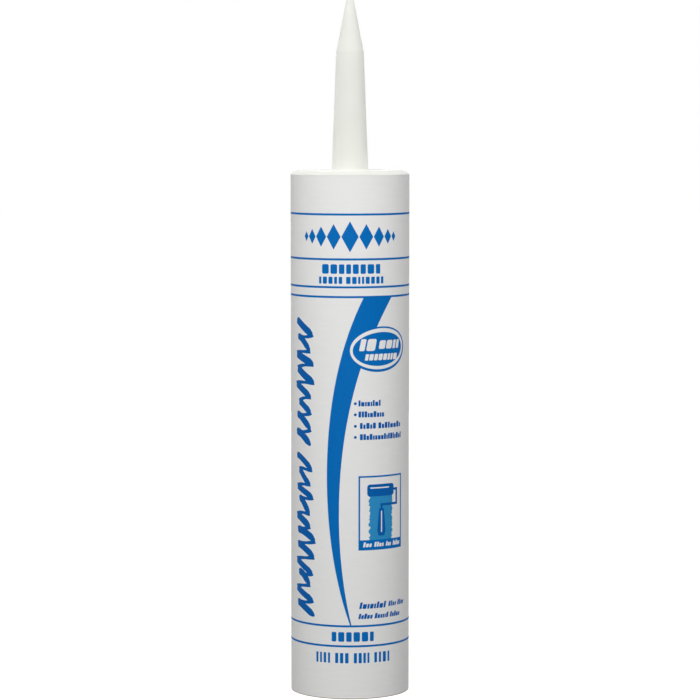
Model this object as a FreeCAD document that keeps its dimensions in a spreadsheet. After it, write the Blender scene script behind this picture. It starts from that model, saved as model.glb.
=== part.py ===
import FreeCAD, Part
import math
import os

import Sketcher

# A caulk cartridge: a spirally wound paperboard tube in a printed paper label, closed at the front by a
# moulded cap with its long nozzle, filled with caulk, and closed at the rear by a cup-shaped plunger.
# The cartridge stands on its open rear end. +Z runs along its axis towards the nozzle's tip, and the
# origin is the centre of the rear end. Lengths are in millimetres.

# The driving sizes, which go into the sheet.
SIZES = {
    # tube and label
    "TubeLength": 215.9,  # the paperboard tube, end to end
    "TubeBore": 46.9,  # inside diameter of the tube
    "BoardWall": 1.15,  # thickness of the wound board
    "RearBevel": 0.25,  # bevel that eases the inner edge at the rear
    "GlueLine": 0.02,  # glue between the board and the label
    "LabelPaper": 0.13,  # thickness of the label
    "LabelInset": 0.3,  # board left bare below the label
    # cap
    "FlangeHeight": 1.35,  # the cap's rim above the tube's front edge
    "RimEdge": 0.05,  # upright edge of the rim, below its bevel
    "RimBevel": 1.3,  # width of the rim's bevel
    "RimRound": 0.3,  # rounding of the bevel's upper edge
    "CrownInset": 2.85,  # from the rim in to the raised crown
    "CrownStep": 0.35,  # height of the crown
    "CrownRound": 0.2,  # rounding of the crown's edge
    "DiscWall": 1.5,  # thickness of the cap's disc below the crown
    "PlugReach": 9.0,  # length of the plug inside the tube
    "PlugWall": 1.4,  # wall of the plug
    "PlugClearance": 0.05,  # gap between the plug and the tube's bore
    "PlugLead": 0.6,  # bevel at the plug's free edge
    # nozzle
    "NozzleFoot": 15.2,  # outside diameter where it leaves the cap
    "NozzleNeck": 11.35,  # outside diameter where its tip starts
    "NozzleShank": 49.35,  # length from the cap's rim to the neck
    "NozzleTip": 21.4,  # length of the tip
    "TipEnd": 3.0,  # diameter of the blunt end
    "TipRound": 0.7,  # rounding of the blunt end
    "FootRound": 0.6,  # rounding where the nozzle meets the crown
    "NozzleWall": 1.3,  # wall of the nozzle
    "TipPlug": 4.0,  # solid plastic at the tip, which is cut off to open it
    "TipBore": 1.8,  # diameter of the passage at its closed end
    # seal
    "SeatMargin": 0.7,  # from the nozzle's passage out to the ring that carries the seal
    "SeatWidth": 2.0,  # width of that ring
    "SeatHeight": 0.8,  # height of that ring
    "FoilWall": 0.12,  # thickness of the foil
    "FoilOverhang": 0.3,  # foil that stands out past its ring
    # plunger
    "PlungerSetback": 25.0,  # from the tube's rear end to the plunger's rear rim
    "PlungerHeight": 14.0,  # height of the plunger's side
    "PlungerClearance": 0.05,  # gap between the plunger's lips and the bore
    "PlungerWall": 1.2,  # wall of the plunger
    "LipHeight": 3.0,  # height of each lip
    "WaistDepth": 0.4,  # depth of the waist between the lips
    "WaistSlope": 0.5,  # height of the slope from each lip to the waist
    "NoseShoulder": 1.4,  # flat shoulder between the front lip and the nose
    "NoseHeight": 5.0,  # height of the nose
    "NoseFlat": 30.0,  # diameter of the nose's flat front
    "LipRound": 0.3,  # rounding of the lips' outer rims
    "HubBore": 17.6,  # inside diameter of the ring inside the plunger
    "HubWall": 1.2,  # wall of that ring
    "RibDepth": 0.8,  # the ring and ribs below the inner corner of the plunger's side
    "RibWall": 1.2,  # thickness of each rib
    "RibCount": 8,  # ribs between the ring and the side
    # filling
    "CaulkClearance": 0.1,  # gap between the caulk and what it touches
    "PlungerGap": 0.3,  # gap between the caulk and the plunger
}

# Radii and heights worked out from the driving sizes. The heights of each piece start at its own base:
# the label's lower edge, the tube's front edge for the cap, the foil's underside, the plunger's rear
# rim and the caulk's rear shoulder.
PLACES = {
    "Base": "0",
    # tube and label
    "BoreRadius": "Sizes.TubeBore / 2",
    "BoardRadius": "BoreRadius + Sizes.BoardWall",
    "LabelBore": "BoardRadius + Sizes.GlueLine",
    "LabelRadius": "LabelBore + Sizes.LabelPaper",
    "LabelHeight": "Sizes.TubeLength - Sizes.LabelInset",
    # cap and nozzle
    "PlugRadius": "BoreRadius - Sizes.PlugClearance",
    "PlugBore": "PlugRadius - Sizes.PlugWall",
    "PlugLeadRadius": "PlugRadius - Sizes.PlugLead",
    "PlugEnd": "-Sizes.PlugReach",
    "PlugLeadTop": "PlugEnd + Sizes.PlugLead",
    "FlangeTop": "Sizes.FlangeHeight",
    "RimTop": "Sizes.RimEdge",
    "RimRadius": "LabelRadius - Sizes.RimBevel",
    "CrownRadius": "LabelRadius - Sizes.CrownInset",
    "CrownTop": "FlangeTop + Sizes.CrownStep",
    "DiscUnder": "FlangeTop - Sizes.DiscWall",
    "FootRadius": "Sizes.NozzleFoot / 2",
    "NeckRadius": "Sizes.NozzleNeck / 2",
    "NeckHeight": "FlangeTop + Sizes.NozzleShank",
    "TipRadius": "Sizes.TipEnd / 2",
    "TipHeight": "NeckHeight + Sizes.NozzleTip",
    "FootBore": "FootRadius - Sizes.NozzleWall",
    "NeckBore": "NeckRadius - Sizes.NozzleWall",
    "PassageRadius": "Sizes.TipBore / 2",
    "PassageEnd": "TipHeight - Sizes.TipPlug",
    # seal
    "SeatInner": "FootBore + Sizes.SeatMargin",
    "SeatOuter": "SeatInner + Sizes.SeatWidth",
    "SeatEnd": "DiscUnder - Sizes.SeatHeight",
    "FoilRadius": "SeatOuter + Sizes.FoilOverhang",
    "FoilUnder": "SeatEnd - Sizes.FoilWall",
    # plunger
    "LipRadius": "BoreRadius - Sizes.PlungerClearance",
    "WaistRadius": "LipRadius - Sizes.WaistDepth",
    "CupBore": "WaistRadius - Sizes.PlungerWall",
    "RearLipTop": "Sizes.LipHeight",
    "WaistBottom": "RearLipTop + Sizes.WaistSlope",
    "ShoulderHeight": "Sizes.PlungerHeight",
    "FrontLipBottom": "ShoulderHeight - Sizes.LipHeight",
    "WaistTop": "FrontLipBottom - Sizes.WaistSlope",
    "NoseRadius": "LipRadius - Sizes.NoseShoulder",
    "NoseFlatRadius": "Sizes.NoseFlat / 2",
    "NoseTop": "ShoulderHeight + Sizes.NoseHeight",
    "CupTop": "ShoulderHeight - Sizes.PlungerWall",
    "NoseBore": "NoseFlatRadius - Sizes.PlungerWall / 2",
    "NoseUnder": "NoseTop - Sizes.PlungerWall",
    "HubInner": "Sizes.HubBore / 2",
    "HubOuter": "HubInner + Sizes.HubWall",
    "HubEnd": "CupTop - Sizes.RibDepth",
    "RibInner": "HubInner + Sizes.HubWall / 2",
    "RibOuter": "CupBore + Sizes.PlungerWall / 2",
    "RibTop": "NoseUnder + Sizes.PlungerWall / 2",
    # caulk
    "CaulkBase": "Sizes.PlungerSetback + ShoulderHeight + Sizes.PlungerGap",
    "CaulkRadius": "BoreRadius - Sizes.CaulkClearance",
    "CaulkNeck": "PlugBore - Sizes.CaulkClearance",
    "CaulkNoseTop": "Sizes.NoseHeight",
    "CaulkStep": "Sizes.TubeLength + PlugEnd - Sizes.CaulkClearance - CaulkBase",
    "CaulkTop": "Sizes.TubeLength + DiscUnder - Sizes.CaulkClearance - CaulkBase",
    "CaulkSealRadius": "FoilRadius + Sizes.CaulkClearance",
    "CaulkSealTop": "Sizes.TubeLength + FoilUnder - Sizes.CaulkClearance - CaulkBase",
}

NEAR = 1e-4

doc = FreeCAD.newDocument("caulk_cartridge")

sheet = doc.addObject("Spreadsheet::Sheet", "Sizes")
for row, (alias, value) in enumerate(SIZES.items(), start=1):
    sheet.set(f"A{row}", alias)
    sheet.set(f"B{row}", str(value))
    sheet.setAlias(f"B{row}", alias)
doc.recompute()

places = doc.addObject("App::VarSet", "Places")
for place, formula in PLACES.items():
    places.addProperty("App::PropertyFloat", place, "Places", "")
    places.setExpression(place, formula)
doc.recompute()


def new_body(label, base=None):
    """An empty body whose own base stands at a height above the cartridge's rear end."""
    body = doc.addObject("PartDesign::Body", label)
    body.Label = label
    body.Placement = FreeCAD.Placement()
    if base:
        body.setExpression("Placement.Base.z", base)
    return body


def new_sketch(body, name, role):
    sketch = body.newObject("Sketcher::SketchObject", name)
    plane = next(part for part in body.Origin.OriginFeatures if part.Role == role)
    sketch.AttachmentSupport = [(plane, "")]
    sketch.MapMode = "FlatFace"
    return sketch


def bind(sketch, constraint, place):
    index = sketch.addConstraint(constraint)
    sketch.setExpression(f"Constraints[{index}]", f"Places.{place}")


def draw_outline(sketch, corners):
    """A closed run of straight lines. Each corner is the names of its radius and its height."""
    points = [FreeCAD.Vector(getattr(places, across), getattr(places, up), 0) for across, up in corners]
    for index, point in enumerate(points):
        sketch.addGeometry(Part.LineSegment(point, points[(index + 1) % len(points)]), False)
    for index, (across, up) in enumerate(corners):
        following = (index + 1) % len(corners)
        sketch.addConstraint(Sketcher.Constraint("Coincident", index, 2, following, 1))
        bind(sketch, Sketcher.Constraint("DistanceX", -1, 1, index, 1, points[index].x), across)
        bind(sketch, Sketcher.Constraint("DistanceY", -1, 1, index, 1, points[index].y), up)


def draw_circle(sketch, place):
    radius = getattr(places, place)
    index = sketch.addGeometry(Part.Circle(FreeCAD.Vector(), FreeCAD.Vector(0, 0, 1), radius), False)
    sketch.addConstraint(Sketcher.Constraint("Coincident", index, 3, -1, 1))
    bind(sketch, Sketcher.Constraint("Radius", index, radius), place)


def pad_round(body, name, circles, height):
    """A disc, or a sleeve when two circles are given, that rises from its base to a height."""
    sketch = new_sketch(body, f"{name}_section", "XY_Plane")
    for place in circles:
        draw_circle(sketch, place)
    pad = body.newObject("PartDesign::Pad", name)
    pad.Profile = sketch
    pad.setExpression("Length", height)
    doc.recompute()
    return pad


def revolve(body, name, corners):
    """A turned solid from its half section."""
    sketch = new_sketch(body, f"{name}_section", "XZ_Plane")
    draw_outline(sketch, corners)
    turned = body.newObject("PartDesign::Revolution", name)
    turned.Profile = sketch
    turned.ReferenceAxis = (sketch, ["V_Axis"])
    turned.Angle = 360
    doc.recompute()
    return turned


def rims(feature, *spots):
    """The names of a feature's round edges at each radius and height."""
    names = []
    for radius, height in spots:
        found = [
            f"Edge{index}"
            for index, edge in enumerate(feature.Shape.Edges, start=1)
            if isinstance(edge.Curve, Part.Circle)
            and abs(edge.Curve.Radius - radius) < NEAR
            and abs(edge.Curve.Center.z - height) < NEAR
        ]
        if not found:
            raise RuntimeError(f"{feature.Label} has no edge of radius {radius} at height {height}")
        names += found
    return names


def ease(body, kind, name, base, cell, *spots):
    """A fillet or a chamfer of the size in a cell, along round edges."""
    eased = body.newObject(f"PartDesign::{kind}", name)
    eased.Base = (base, rims(base, *spots))
    eased.setExpression("Radius" if kind == "Fillet" else "Size", f"Sizes.{cell}")
    doc.recompute()
    return eased


def make_tube():
    """The paperboard tube, cut square at both ends."""
    body = new_body("tube")
    sleeve = pad_round(body, "Board", ("BoardRadius", "BoreRadius"), "Sizes.TubeLength")
    ease(body, "Chamfer", "RearEdge", sleeve, "RearBevel", (places.BoreRadius, 0))
    return body


def make_label():
    """The printed label, glued round the board."""
    body = new_body("label", "Sizes.LabelInset")
    pad_round(body, "Paper", ("LabelRadius", "LabelBore"), "Places.LabelHeight")
    return body


def make_nozzle_cap():
    """The cap, its plug in the tube and its nozzle, moulded as one piece with a closed tip."""
    body = new_body("nozzle_cap", "Sizes.TubeLength")
    section = (
        ("PlugBore", "PlugEnd"),
        ("PlugLeadRadius", "PlugEnd"),
        ("PlugRadius", "PlugLeadTop"),
        ("PlugRadius", "Base"),
        ("LabelRadius", "Base"),
        ("LabelRadius", "RimTop"),
        ("RimRadius", "FlangeTop"),
        ("CrownRadius", "FlangeTop"),
        ("CrownRadius", "CrownTop"),
        ("FootRadius", "CrownTop"),
        ("NeckRadius", "NeckHeight"),
        ("TipRadius", "TipHeight"),
        ("Base", "TipHeight"),
        ("Base", "PassageEnd"),
        ("PassageRadius", "PassageEnd"),
        ("NeckBore", "NeckHeight"),
        ("FootBore", "DiscUnder"),
        ("SeatInner", "DiscUnder"),
        ("SeatInner", "SeatEnd"),
        ("SeatOuter", "SeatEnd"),
        ("SeatOuter", "DiscUnder"),
        ("PlugBore", "DiscUnder"),
    )
    moulding = revolve(body, "Moulding", section)
    rim = ease(body, "Fillet", "Rim", moulding, "RimRound", (places.RimRadius, places.FlangeTop))
    crown = ease(body, "Fillet", "Crown", rim, "CrownRound", (places.CrownRadius, places.CrownTop))
    foot = ease(body, "Fillet", "Foot", crown, "FootRound", (places.FootRadius, places.CrownTop))
    ease(body, "Fillet", "Tip", foot, "TipRound", (places.TipRadius, places.TipHeight))
    return body


def make_nozzle_seal():
    """The foil that closes the nozzle's passage, on the ring under the cap."""
    body = new_body("nozzle_seal", "Sizes.TubeLength + Places.FoilUnder")
    pad_round(body, "Foil", ("FoilRadius",), "Sizes.FoilWall")
    return body


def make_plunger():
    """The plunger: a cup open to the rear, with two lips, a blunt nose, and a ring and ribs inside."""
    body = new_body("plunger", "Sizes.PlungerSetback")
    section = (
        ("CupBore", "Base"),
        ("LipRadius", "Base"),
        ("LipRadius", "RearLipTop"),
        ("WaistRadius", "WaistBottom"),
        ("WaistRadius", "WaistTop"),
        ("LipRadius", "FrontLipBottom"),
        ("LipRadius", "ShoulderHeight"),
        ("NoseRadius", "ShoulderHeight"),
        ("NoseFlatRadius", "NoseTop"),
        ("Base", "NoseTop"),
        ("Base", "NoseUnder"),
        ("HubInner", "NoseUnder"),
        ("HubInner", "HubEnd"),
        ("HubOuter", "HubEnd"),
        ("HubOuter", "NoseUnder"),
        ("NoseBore", "NoseUnder"),
        ("CupBore", "CupTop"),
    )
    cup = revolve(body, "Cup", section)
    lips = ((places.LipRadius, 0), (places.LipRadius, places.ShoulderHeight))
    ease(body, "Fillet", "Lips", cup, "LipRound", *lips)

    # a rib ends inside the ring, the side and the nose, so its edges never show past them
    rib_sketch = new_sketch(body, "Rib_section", "XZ_Plane")
    draw_outline(
        rib_sketch,
        (
            ("RibInner", "HubEnd"),
            ("RibOuter", "HubEnd"),
            ("RibOuter", "CupTop"),
            ("NoseBore", "RibTop"),
            ("RibInner", "RibTop"),
        ),
    )
    rib = body.newObject("PartDesign::Pad", "Rib")
    rib.Profile = rib_sketch
    rib.SideType = "Symmetric"
    rib.setExpression("Length", "Sizes.RibWall")
    doc.recompute()

    ribs = body.newObject("PartDesign::PolarPattern", "Ribs")
    ribs.Originals = [rib]
    ribs.Axis = (rib_sketch, ["V_Axis"])
    ribs.Angle = 360
    ribs.setExpression("Occurrences", "Sizes.RibCount")
    body.Tip = ribs
    doc.recompute()
    return body


def make_caulk():
    """The filling, from the plunger's nose to the cap's disc and its seal."""
    body = new_body("caulk", "Places.CaulkBase")
    section = (
        ("Base", "CaulkNoseTop"),
        ("NoseFlatRadius", "CaulkNoseTop"),
        ("NoseRadius", "Base"),
        ("CaulkRadius", "Base"),
        ("CaulkRadius", "CaulkStep"),
        ("CaulkNeck", "CaulkStep"),
        ("CaulkNeck", "CaulkTop"),
        ("CaulkSealRadius", "CaulkTop"),
        ("CaulkSealRadius", "CaulkSealTop"),
        ("Base", "CaulkSealTop"),
    )
    revolve(body, "Filling", section)
    return body


def check(bodies):
    """Stop before anything is written if an object failed or a piece is not one sound solid."""
    for thing in doc.Objects:
        if {"Invalid", "Error"} & set(thing.State):
            raise RuntimeError(f"{thing.Label} did not build: {thing.State}")
    for body in bodies:
        shape = body.Shape
        if shape.isNull() or not shape.isValid() or len(shape.Solids) != 1:
            raise RuntimeError(f"{body.Label} is not one sound solid")


def main():
    pieces = [
        make_tube(),
        make_label(),
        make_nozzle_cap(),
        make_nozzle_seal(),
        make_plunger(),
        make_caulk(),
    ]
    doc.recompute()
    check(pieces)

    sleeve_area = math.pi * (places.BoardRadius**2 - places.BoreRadius**2)
    board = pieces[0].Shape.Volume
    if not board < sleeve_area * SIZES["TubeLength"]:
        raise RuntimeError("the bevel cut nothing from the tube")

    os.makedirs("parts", exist_ok=True)
    for piece in pieces:
        piece.Shape.exportStep(f"parts/{piece.Label}.step")
        box = piece.Shape.BoundBox
        print(f"{piece.Label}: {piece.Shape.Volume:.1f} mm3, z {box.ZMin:.2f} to {box.ZMax:.2f}")


main()
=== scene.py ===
import math
import random

import bmesh
import bpy
from mathutils import Matrix, Vector


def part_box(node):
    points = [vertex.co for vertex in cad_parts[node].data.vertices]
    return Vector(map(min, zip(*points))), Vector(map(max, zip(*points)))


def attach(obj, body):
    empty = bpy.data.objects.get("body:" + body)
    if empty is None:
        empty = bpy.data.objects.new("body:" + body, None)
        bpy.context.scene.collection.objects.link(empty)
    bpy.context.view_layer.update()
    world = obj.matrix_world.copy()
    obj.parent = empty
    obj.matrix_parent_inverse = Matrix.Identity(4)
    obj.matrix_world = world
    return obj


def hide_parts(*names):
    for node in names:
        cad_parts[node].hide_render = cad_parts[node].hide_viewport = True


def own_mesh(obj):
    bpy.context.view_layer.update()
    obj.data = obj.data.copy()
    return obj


# A caulk cartridge: a spirally wound paperboard tube in a printed paper label, with a moulded
# polyethylene cap and nozzle at the front, a plunger in its open rear end and caulk between them.
# The cartridge stands on its rear end. +Z runs towards the nozzle's tip and -Y through the middle of
# the label's front. Lengths are in metres.

bl_info = {
    "name": "Caulk Cartridge",
    "version": (1, 0, 0),
    "blender": (4, 5, 0),
    "location": "View3D > Sidebar > Cartridge",
    "description": "Builds a caulk cartridge with its printed label, nozzle and plunger",
    "category": "Add Mesh",
}

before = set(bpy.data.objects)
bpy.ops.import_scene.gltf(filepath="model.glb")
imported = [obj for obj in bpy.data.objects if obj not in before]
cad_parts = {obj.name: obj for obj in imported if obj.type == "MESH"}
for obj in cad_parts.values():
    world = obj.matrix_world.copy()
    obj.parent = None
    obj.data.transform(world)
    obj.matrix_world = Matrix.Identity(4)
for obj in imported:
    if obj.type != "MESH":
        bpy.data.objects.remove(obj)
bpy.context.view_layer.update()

MM = 0.001
TURN_STEPS = 180  # facets round the cartridge, 2 degrees each
FACET = 2 * math.pi / TURN_STEPS
ARC_SEGMENTS = 8  # segments of a rounded edge
SMALL_ARC_SEGMENTS = 5  # segments of an edge whose rounding is hardly seen
WELD = 1e-7  # corners that lie closer than this are joined
SHARP_EDGE = math.radians(35)  # an edge that turns by more than this isn't shaded smooth

TUBE_LOW, TUBE_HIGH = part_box("tube")
LABEL_LOW, LABEL_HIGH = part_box("label")
CAP_LOW, CAP_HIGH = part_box("nozzle_cap")
PLUNGER_LOW, PLUNGER_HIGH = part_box("plunger")
CAULK_LOW, CAULK_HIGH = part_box("caulk")


def length(name, description, millimetres):
    """A length property whose default is given in millimetres."""
    return bpy.props.FloatProperty(
        name=name, description=description, default=millimetres * MM, unit="LENGTH", precision=5
    )


def linear(hex_code):
    """The linear red, green and blue of an sRGB hex colour."""
    shares = [int(hex_code[place : place + 2], 16) / 255 for place in (1, 3, 5)]
    return tuple(
        share / 12.92 if share <= 0.04045 else ((share + 0.055) / 1.055) ** 2.4 for share in shares
    )


def colour(name, description, hex_code):
    """A colour property whose default is an sRGB hex colour."""
    return bpy.props.FloatVectorProperty(
        name=name, description=description, default=linear(hex_code), subtype="COLOR", min=0, max=1
    )


class CartridgeSizes(bpy.types.PropertyGroup):
    board_wall: length("Board wall", "Thickness of the wound paperboard", 1.15)
    rear_bevel: length("Rear bevel", "Bevel on the inner edge of the open rear end", 0.25)
    ply: length("Ply", "Thickness of one ply of the board", 0.29)
    ply_groove: length("Ply groove", "Width of the line between two plies at the cut end", 0.05)
    ink_build: length("Ink build", "Height that the printed layers need inside the label's radius", 0.06)
    ink_layer: length("Ink layer", "Step from one printed layer to the next", 0.01)
    lap_width: length("Lap width", "Width of the strip where the label laps over itself at the back", 6.5)
    lap_slip: length("Lap slip", "Height by which the print misses its match at the lap", 0.25)
    flange_height: length("Flange height", "Height of the cap's rim above the tube", 1.35)
    rim_edge: length("Rim edge", "Upright edge of the rim, below its bevel", 0.05)
    rim_bevel: length("Rim bevel", "Width of the rim's bevel", 1.3)
    rim_round: length("Rim rounding", "Rounding of the bevel's upper edge", 0.3)
    crown_inset: length("Crown inset", "From the rim in to the raised crown", 2.85)
    crown_step: length("Crown step", "Height of the crown", 0.35)
    crown_round: length("Crown rounding", "Rounding of the crown's edge", 0.06)
    disc_wall: length("Disc wall", "Thickness of the cap's disc below the crown", 1.5)
    plug_clearance: length("Plug clearance", "Gap between the plug and the tube's bore", 0.05)
    plug_wall: length("Plug wall", "Wall of the plug inside the tube", 1.4)
    plug_lead: length("Plug lead", "Bevel at the plug's free edge", 0.6)
    nozzle_foot: length("Nozzle foot", "Radius where the nozzle leaves the cap", 7.6)
    nozzle_neck: length("Nozzle neck", "Radius where the nozzle's tip starts", 5.675)
    nozzle_tip: length("Nozzle tip", "Length of the nozzle's tip", 21.4)
    tip_end: length("Tip end", "Radius of the blunt end", 1.5)
    tip_round: length("Tip rounding", "Rounding of the blunt end", 0.7)
    foot_round: length("Foot rounding", "Rounding where the nozzle meets the crown", 0.6)
    neck_round: length("Neck rounding", "Softness of the crease at the neck", 0.25)
    witness_drop: length("Witness drop", "From the neck down to the mould's witness line", 1.75)
    witness_depth: length("Witness depth", "Depth of the mould's witness line", 0.05)
    nozzle_wall: length("Nozzle wall", "Wall of the nozzle", 1.3)
    tip_plug: length("Tip plug", "Solid plastic that closes the tip", 4.0)
    tip_bore: length("Tip bore", "Radius of the passage at its closed end", 0.9)
    seat_margin: length("Seat margin", "From the passage out to the ring that carries the seal", 0.7)
    seat_width: length("Seat width", "Width of that ring", 2.0)
    seat_height: length("Seat height", "Height of that ring", 0.8)
    gate_radius: length("Gate radius", "Radius of the gate mark inside the plunger", 1.3)
    gate_height: length("Gate height", "Height of the gate mark", 0.35)
    plunger_wall: length("Plunger wall", "Wall of the plunger", 1.2)
    plunger_gap: length("Plunger gap", "Gap between the caulk and the plunger", 0.3)
    nose_shoulder: length("Nose shoulder", "Radius where the plunger's nose starts", 22.0)
    nose_flat: length("Nose flat", "Radius of the nose's flat front", 15.0)


class PrintSizes(bpy.types.PropertyGroup):
    line: length("Line", "Thickness of the lines round the label", 0.85)
    upper_rule: length("Upper rule", "Height of the uppermost line", 200.0)
    title_rule: length("Title rule", "Height of the line over the title", 181.7)
    title_base: length("Title base", "Height of the line under the title", 170.3)
    sweep_rule: length("Sweep rule", "Height of the line that the sweep hangs from", 166.3)
    foot_rule: length("Foot rule", "Height of the line that the sweep ends on", 30.45)
    base_rule: length("Base rule", "Height of the lowest line", 22.1)
    lozenge_height: length("Lozenge height", "Height of the largest lozenge of the ornament", 12.6)
    lozenge_width: length("Lozenge width", "Width of the largest lozenge", 7.1)
    lozenge_gap: length("Lozenge gap", "Gap between two lozenges", 0.3)
    lozenge_row: length("Lozenge row", "Height of the ornament's centre line", 190.9)
    badge_across: length("Badge across", "Distance of the badge's centre from the front's middle", 13.1)
    badge_up: length("Badge height", "Height of the badge's centre", 144.75)
    panel_left: length("Panel left", "Left edge of the picture panel", 3.5)
    panel_right: length("Panel right", "Right edge of the picture panel", 25.3)
    panel_low: length("Panel bottom", "Lower edge of the picture panel", 61.9)
    panel_high: length("Panel top", "Upper edge of the picture panel", 92.7)
    panel_line: length("Panel line", "Thickness of the picture panel's frame", 0.7)
    strip: length("Strip", "Height of the blue strip under the picture", 4.2)
    roller_across: length("Roller across", "Distance of the roller's middle from the front's middle", 13.7)
    roller_up: length("Roller height", "Height of the roller's middle", 86.6)
    roller_width: length("Roller width", "Width of the roller", 13.0)
    roller_thick: length("Roller thickness", "Thickness of the roller", 5.0)


class CartridgeColours(bpy.types.PropertyGroup):
    paper: colour("Paper", "Coated white label paper", "#E8E8E7")
    blue: colour("Blue", "Process blue ink", "#0069B6")
    deep_blue: colour("Deep blue", "Darker blue of the brushed strokes", "#045CA8")
    tint: colour("Tint", "Light blue of the picture", "#2E8BC1")
    polyethylene: colour("Polyethylene", "Natural white of the cap and nozzle", "#E8E9E3")
    plunger: colour("Plunger", "White of the plunger", "#ECEEEC")
    board: colour("Board", "Grey-brown of the paperboard", "#A98F6C")
    board_edge: colour("Board edge", "Darker line between two plies", "#6F5A41")
    liner: colour("Liner", "Kraft ply that lines the bore", "#B79B74")
    foil: colour("Foil", "Aluminium foil of the seal", "#D3D5D7")
    caulk: colour("Caulk", "White acrylic caulk", "#F1F0EC")
    floor: colour("Floor", "Pale grey floor", "#989898")


def sizes():
    """The sizes of the cartridge's own pieces."""
    return bpy.context.scene.cartridge_sizes


def prints():
    """The sizes and places of the print."""
    return bpy.context.scene.cartridge_print


def colours():
    """The colours of the paper, inks, plastics and board."""
    return bpy.context.scene.cartridge_colours


# Materials

NOISE_LOW, NOISE_HIGH = 0.3, 0.7  # most values of a noise lie between these

def add_node(tree, kind, settings=None, sockets=None):
    """Add a node, set its options, and give each named input a value or a link."""
    added = tree.nodes.new(kind)
    for option, value in (settings or {}).items():
        setattr(added, option, value)
    for name, value in (sockets or {}).items():
        if isinstance(value, bpy.types.NodeSocket):
            tree.links.new(value, added.inputs[name])
        else:
            added.inputs[name].default_value = value
    return added


def rgba(tone, share=1.0):
    """A colour scaled by a share, with full opacity."""
    return (tone[0] * share, tone[1] * share, tone[2] * share, 1.0)


def new_material(name):
    """An empty node material with its output and the object's own coordinates."""
    material = bpy.data.materials.new(name)
    material.use_nodes = True
    tree = material.node_tree
    tree.nodes.clear()
    output = add_node(tree, "ShaderNodeOutputMaterial")
    place = add_node(tree, "ShaderNodeTexCoord").outputs["Object"]
    return material, tree, output, place


def grain(tree, place, millimetres, detail=3.0):
    """Noise whose features are about as large as the given millimetres."""
    return add_node(
        tree,
        "ShaderNodeTexNoise",
        sockets={"Vector": place, "Scale": 1 / (millimetres * MM), "Detail": detail},
    ).outputs["Fac"]


def spread(tree, value, low, high):
    """Noise values about the middle, stretched to run from low to high."""
    return add_node(
        tree,
        "ShaderNodeMapRange",
        sockets={
            "Value": value,
            "From Min": NOISE_LOW,
            "From Max": NOISE_HIGH,
            "To Min": low,
            "To Max": high,
        },
    ).outputs["Result"]


def blend_colours(tree, share, first, second):
    """The first colour where the share is 0, the second where it is 1, and a blend between."""
    # The node's colour inputs are 6 and 7, and its colour output is 2.
    return add_node(
        tree, "ShaderNodeMix", {"data_type": "RGBA"}, {0: share, 6: first, 7: second}
    ).outputs[2]


def relief(tree, height, micrometres):
    """A bump that is as deep as the given micrometres."""
    return add_node(
        tree,
        "ShaderNodeBump",
        sockets={"Height": height, "Distance": micrometres * MM / 1000, "Strength": 1.0},
    ).outputs["Normal"]


def coated_paper():
    # Coated label paper: calendered and matt varnished, so it is a quiet white. Its formation is
    # faintly cloudy and lies along the web, round the tube, with a fine fibre grain on top.
    material, tree, output, place = new_material("label_paper_coated")
    paper = colours().paper
    web = add_node(
        tree, "ShaderNodeMapping", sockets={"Vector": place, "Scale": (0.22, 0.22, 1.0)}
    ).outputs[0]
    cloud = spread(tree, grain(tree, web, 1.3, 4.0), 0, 1)
    fibres = grain(tree, place, 0.45, 6.0)
    surface = add_node(
        tree,
        "ShaderNodeBsdfPrincipled",
        sockets={
            "Base Color": blend_colours(tree, cloud, rgba(paper, 0.98), rgba(paper, 1.005)),
            "Roughness": spread(tree, cloud, 0.5, 0.56),
            "IOR": 1.45,
            "Specular IOR Level": 0.2,
            "Normal": relief(tree, fibres, 6),
        },
    )
    tree.links.new(surface.outputs[0], output.inputs["Surface"])
    return material


def printed_ink(name, tone):
    # Flexographic ink under a matt varnish: dense, with little gloss, and with the faint mottle that
    # a solid printed area has.
    material, tree, output, place = new_material(name)
    mottle = spread(tree, grain(tree, place, 0.8), 0, 1)
    surface = add_node(
        tree,
        "ShaderNodeBsdfPrincipled",
        sockets={
            "Base Color": blend_colours(tree, mottle, rgba(tone, 0.95), rgba(tone, 1.04)),
            "Roughness": 0.5,
            "IOR": 1.45,
            "Specular IOR Level": 0.08,
            "Normal": relief(tree, grain(tree, place, 0.45, 6.0), 4),
        },
    )
    tree.links.new(surface.outputs[0], output.inputs["Surface"])
    return material


def moulded_polyethylene(name, tone, roughness):
    # Low-density polyethylene, injection moulded: waxy and slightly see-through, so light soaks about
    # 1.5 mm into its edges, with the soft grain of the mould's spark-eroded surface.
    material, tree, output, place = new_material(name)
    flow = spread(tree, grain(tree, place, 9.0, 2.0), 0, 1)
    surface = add_node(
        tree,
        "ShaderNodeBsdfPrincipled",
        sockets={
            "Base Color": blend_colours(tree, flow, rgba(tone, 0.98), rgba(tone)),
            "Roughness": spread(tree, flow, roughness - 0.03, roughness + 0.03),
            "IOR": 1.51,
            "Specular IOR Level": 0.3,
            "Diffuse Roughness": 1.0,
            "Subsurface Weight": 0.25,
            "Subsurface Radius": (1.0, 1.0, 0.9),
            "Subsurface Scale": 1.5 * MM,
            "Sheen Weight": 0.15,
            "Sheen Roughness": 0.5,
            "Normal": relief(tree, grain(tree, place, 0.35, 4.0), 5),
        },
    )
    tree.links.new(surface.outputs[0], output.inputs["Surface"])
    return material


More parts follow.
